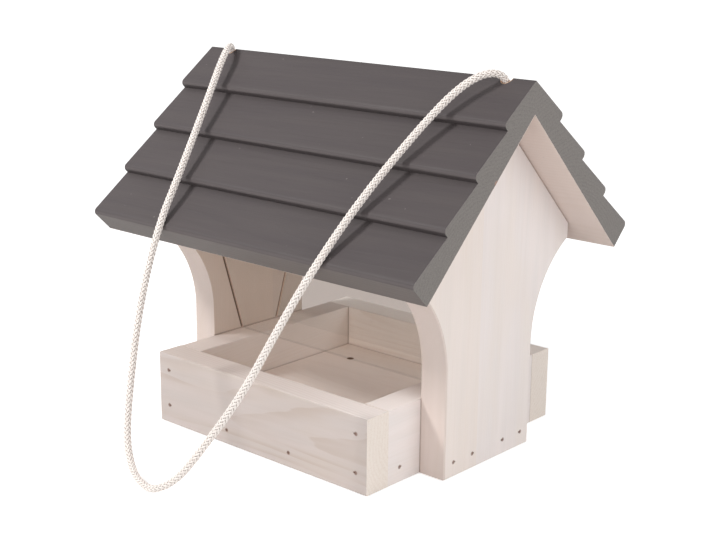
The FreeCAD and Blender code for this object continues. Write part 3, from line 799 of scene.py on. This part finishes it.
def roof_finish(name, side, heart, seed):
    """side is -1 for the front slope and 1 for the rear one."""
    finish = Finish(name, Specular_IOR_Level=0.3)
    place, late, fibres, bands, ends, _ = grain(finish, X_AXIS, heart, (0, 0.01, 0.02), 2.3, seed)
    corners = [vertex.co / MM for vertex in nodes["roof_front" if side < 0 else "roof_rear"].data.vertices]
    underside = min(corner.z + abs(corner.y) for corner in corners)
    thickness = (dot(finish, place, (0, side, 1)) - underside) * HALF_ROOT
    down = dot(finish, place, (0, side, -1)) * HALF_ROOT - LAST_NOSE + LAP_MARGIN
    below = (down / COURSE_RUN).fraction() * COURSE_RUN
    paint = finish.mix(bands.step(0.3, 0.7), ROOF_TOP, ROOF_TOP_WARM)
    # Painted highlight: a paler line along each nose.
    paint = finish.mix(below.step(*NOSE_HIGHLIGHT_ZONE), paint, ROOF_NOSE_HIGHLIGHT)
    # Painted shade: a darker band under each lap.
    paint = finish.mix(below.step(*LAP_SHADE_ZONE) * LAP_SHADE_SHARE, paint, ROOF_LINE)
    paint = finish.mix(down.step(0, 0.2), paint, ROOF_EAVE)
    fine_lines = fibres.step(0.5, 0.8)
    paint = finish.mix(late * ROOF_LATE + fine_lines * ROOF_FIBRES, paint, ROOF_LINE)
    specks = finish.noise(place, 0.35, detail=0)
    paint = finish.mix(specks.step(0.86, 0.89) * SPECK_SHARE, paint, ROOF_SPECK)
    pores = finish.noise(place, 1.3, detail=3, roughness=0.7)
    end_lines = late * ROOF_END_LATE + pores.step(0.4, 0.7) * ROOF_END_PORES
    paint = finish.mix(ends, paint, finish.mix(end_lines, ROOF_END, ROOF_LINE))
    wash = finish.mix(late * ROOF_LATE + fine_lines * UNDERSIDE_FIBRES, UNDERSIDE, WOOD_LINE)
    ragged = finish.noise(place, 0.4) * 0.5
    shade = finish.mix((thickness + ragged).step(*PAINT_STARTS), wash, paint)
    across = abs(dot(finish, place, X_AXIS)) - ROPE_FROM_MIDDLE
    back = dot(finish, place, Y_AXIS)
    hole = (across * across + back * back).root()
    shade = finish.mix(hole.step(ROPE_HOLE_RADIUS + 0.5, ROPE_HOLE_RADIUS + 0.25), shade, BARE_WOOD)
    if side < 0:
        spots = {0: place, 1: CHIP_PLACE}
        from_chip = finish.node("VectorMath", {"operation": "DISTANCE"}, spots, output="Value")
        chip = (from_chip + ragged * 2).step(*CHIP_REACH)
        shade = finish.mix(chip * CHIP_SHARE, shade, CHIP_WOOD)
    finish.feed("Base Color", shade)
    finish.feed("Roughness", 0.5 + fibres * 0.2)
    finish.feed("Normal", finish.bump(late * 0.6 + fibres * 0.6 + ends * pores, 0.4, 0.00014))
    return finish.material


dress("roof_front", roof_finish("front_roof_paint", -1, (0, -30, 96), 4.4))
dress("roof_rear", roof_finish("rear_roof_paint", 1, (0, 44, 120), 9.9))
print("roof dressed")

# %% [markdown]
# The panes are thin clear plastic, a little grey-brown, with fine scuffs from sliding in their
# grooves. Real glass shaders refract and slow a render down for a sheet this thin, so the finish is
# part see-through instead: alpha lets most light pass and the gloss on top does the rest. In the
# grooves the pane is closed and brown, painted shade for the groove, and glows a little, painted
# light that keeps the grooves from going black.

# %% clear panes
PANE_LEAN = math.radians(17)
PANE_TONE = colour(200, 178, 150)
PANE_CLOUD = colour(208, 188, 164)
PANE_EDGE = colour(134, 104, 80)
PANE_SCUFFS = (900, 60, 60)
EDGE_ALPHA, SHEET_ALPHA, SCUFF_ALPHA, CLOUD_ALPHA = 0.12, 0.02, 0.03, 0.015
# Painted light and painted shade for the pane where it sits in its grooves.
GROOVE_PAINTED_GLOW = (0.285, 0.205, 0.16, 1)
GROOVE_SHADE = colour(113, 91, 79)
GLOW_END = (1.4, 1.0)
BLACK = (0, 0, 0, 1)


def pane_finish(name, hand):
    """hand is -1 for the front pane and 1 for the rear one, which lean outward."""
    finish = Finish(name)
    place = finish.place()
    outward = (0, hand * math.cos(PANE_LEAN), -math.sin(PANE_LEAN))
    edges = abs(facing(finish, outward)).step(0.8, 0.5)
    drawn_out = finish.node("Mapping", {}, {"Vector": place, "Scale": PANE_SCUFFS})
    scuffs = finish.noise(drawn_out, 1)
    cloud = finish.noise(place, 18)
    sheet = finish.mix(cloud, PANE_TONE, PANE_CLOUD)
    from_middle = abs(dot(finish, place, (1 / MM, 0, 0)))
    in_groove = from_middle.step(GABLE_INSIDE, GABLE_INSIDE + 0.05)
    sheet = finish.mix(edges, sheet, PANE_EDGE)
    # Painted shade: in the grooves the sheet turns opaque brown.
    finish.feed("Base Color", finish.mix(in_groove, sheet, GROOVE_SHADE))
    finish.feed("Emission Strength", 1.0)
    # Painted light: a faint glow near the groove's mouth.
    painted_glow = in_groove * (from_middle - GABLE_INSIDE).step(*GLOW_END)
    finish.feed("Emission Color", finish.mix(painted_glow, BLACK, GROOVE_PAINTED_GLOW))
    alpha = SHEET_ALPHA + scuffs.step(0.62, 0.75) * SCUFF_ALPHA + cloud * CLOUD_ALPHA
    finish.feed("Alpha", alpha.most(edges * EDGE_ALPHA).most(in_groove))
    finish.feed("Roughness", 0.05 + scuffs.step(0.5, 0.75) * 0.15)
    return finish.material


dress("front_pane", pane_finish("front_pane_clear", -1))
dress("rear_pane", pane_finish("rear_pane_clear", 1))
print("panes dressed")

# %% [markdown]
# The brads are flat steel pins, shot below the surface. They are dull and spotted with rust,
# so metal and rust share the surface by a fine noise.

# %% brads
STEEL = colour(150, 128, 116)
BRAD_RUST = colour(122, 90, 74)


def brad_finish():
    finish = Finish("rusting_brad")
    place = finish.place()
    rust = finish.noise(place, 1800, detail=3).step(0.4, 0.6)
    finish.feed("Base Color", finish.mix(rust, STEEL, BRAD_RUST))
    finish.feed("Metallic", 0.3 - rust * 0.25)
    finish.feed("Roughness", 0.45 + rust * 0.4)
    return finish.material


brad = brad_finish()
for node_name in nodes:
    if node_name.endswith("_nails"):
        dress(node_name, brad)
print("brads dressed")

# %% [markdown]
# The studio has four lamps. The key lamp, in front on the left and small, throws the rope's shadow
# on the roof. A large lamp behind on the right makes the gable the brightest face. A lamp at the
# right side lights the gable under the roof's edge, and a low one in front fills the hopper.
# The world adds plain light from all round, and pale boards pass light on to each other many times
# before it leaves the hopper, so the bounces aren't cut short.

# %% lamps
AIM = (0, 0, 0.12)
LAMPS = (
    ("key_lamp", (-0.65, -0.9, 1.15), 0.32, 13.5),
    ("right_lamp", (1.5, 0.5, 0.9), 1.4, 9.3),
    ("side_lamp", (1.6, -0.35, 0.55), 1.2, 4),
    ("front_fill", (0.3, -1.6, 0.45), 1.2, 7),
)
MAX_BOUNCES, DIFFUSE_BOUNCES = 16, 12


def area_lamp(name, place, size, watts):
    lamp = bpy.data.lights.new(name, "AREA")
    lamp.shape = "DISK"
    lamp.size = size
    lamp.energy = watts
    holder = bpy.data.objects.new(name, lamp)
    holder.location = place
    holder.rotation_euler = (Vector(AIM) - Vector(place)).to_track_quat("-Z", "Y").to_euler()
    scene.collection.objects.link(holder)


for lamp_values in LAMPS:
    area_lamp(*lamp_values)
scene.cycles.max_bounces = MAX_BOUNCES
scene.cycles.diffuse_bounces = DIFFUSE_BOUNCES
print("lamps", len(LAMPS))

# %% [markdown]
# Behind the feeder all is white, as in a product picture. The world and the floor look white to the
# camera and in reflections, but give the boards only plain light, which a Light Path node can tell
# apart. Seen through the panes they are darker, because the sheets dim what lies behind them. The
# floor also keeps the feeder's soft shadow. It lies half a millimetre below the boards, so that the
# two surfaces don't coincide, and glows more far away, where less lamp light reaches it.

# %% world and floor
world = bpy.data.worlds.new("studio")
world.use_nodes = True
scene.world = world
WORLD_LIGHT = 0.345
BEHIND_PANES = (0.50, 0.44, 0.41, 1)
WHITE = (1, 1, 1, 1)
FLOOR_DROP = 0.5 * MM
FLOOR_REACH = 6
FLOOR_COLOUR = (0.8, 0.8, 0.8, 1)
GLOW_NEAR, GLOW_FAR, GLOW_RISE = (0.62, 0.62, 0.62, 1), (0.85, 0.85, 0.85, 1), (0.4, 2.0)


def sight(network):
    """Masks of what is seen directly or in gloss, and of what is seen through clear panes."""
    rays = network.node("LightPath").socket.node.outputs
    camera_ray, glossy, transmission, depth = (
        Wire(network, rays[name])
        for name in ("Is Camera Ray", "Is Glossy Ray", "Is Transmission Ray", "Transparent Depth"))
    through = depth.least(1)
    straight = camera_ray.most(glossy).most(transmission)
    return straight * (1 - through), straight * through


studio = Network(world.node_tree)
direct, through = sight(studio)
plain_light = (WORLD_LIGHT, WORLD_LIGHT, WORLD_LIGHT, 1)
surroundings = studio.mix(through, studio.mix(direct, plain_light, WHITE), BEHIND_PANES)
studio.join(studio.tree.nodes["Background"].inputs["Color"], surroundings)


def make_floor():
    mesh = bpy.data.meshes.new("floor")
    shape = bmesh.new()
    bmesh.ops.create_grid(shape, x_segments=2, y_segments=2, size=FLOOR_REACH)
    shape.to_mesh(mesh)
    shape.free()
    floor = bpy.data.objects.new("floor", mesh)
    floor.location.z = -FLOOR_DROP
    scene.collection.objects.link(floor)
    finish = Finish("floor", Roughness=0.9, Specular_IOR_Level=0.0)
    direct, through = sight(finish)
    finish.feed("Base Color", finish.mix(through, FLOOR_COLOUR, BLACK))
    finish.feed("Emission Strength", 1.0)
    place = finish.place()
    distance = finish.node("VectorMath", {"operation": "LENGTH"}, {0: place}, output="Value")
    glow = finish.mix(direct, BLACK, finish.mix(distance.step(*GLOW_RISE), GLOW_NEAR, GLOW_FAR))
    finish.feed("Emission Color", finish.mix(through, glow, BEHIND_PANES))
    mesh.materials.append(finish.material)


make_floor()
print("world and floor are in place")
